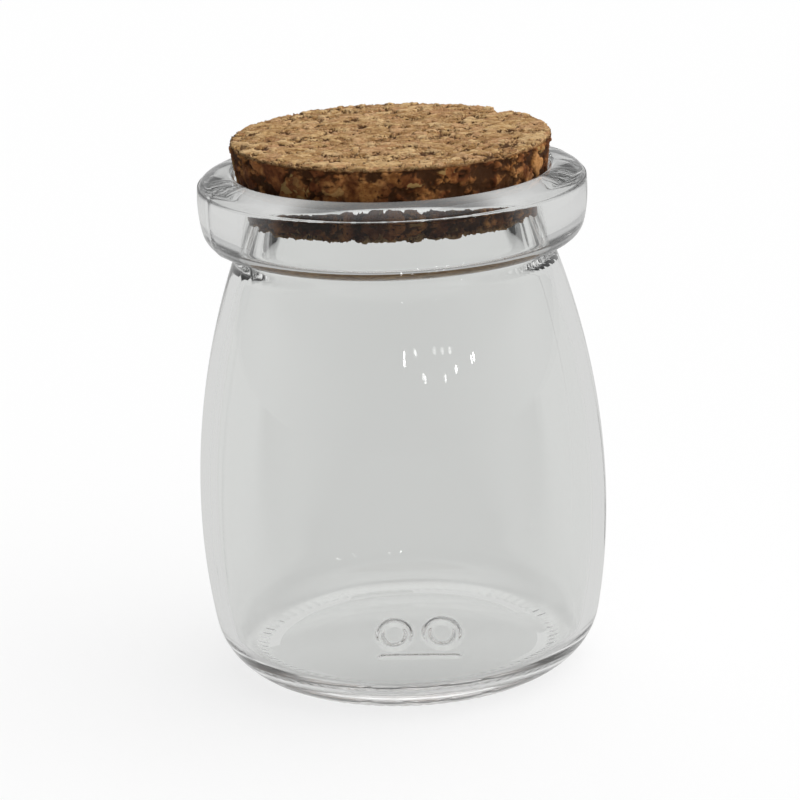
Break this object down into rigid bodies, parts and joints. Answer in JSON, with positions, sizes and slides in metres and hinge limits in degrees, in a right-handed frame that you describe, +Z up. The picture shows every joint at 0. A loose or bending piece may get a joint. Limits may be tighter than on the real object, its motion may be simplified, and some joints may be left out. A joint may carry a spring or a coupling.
{
  "type": "corked glass jar",
  "caption": "Small clear glass jar with a swelling body, a thick rounded rim and a tapered cork stopper pressed into its mouth.",
  "frame": {"origin": "centre of the foot ring, on the surface the jar stands on", "axes": "+Z up along the jar's axis; -Y is the side shown in front, +X to its right"},
  "size_m": [0.0737, 0.0736, 0.0977],
  "materials": {
    "glass": "clear pressed glass, smooth",
    "cork": "agglomerated cork, matte, open grain"
  },
  "bodies": {
    "root": {"glass_jar": "glass", "cork_stopper": "cork"}
  },
  "joints": []
}
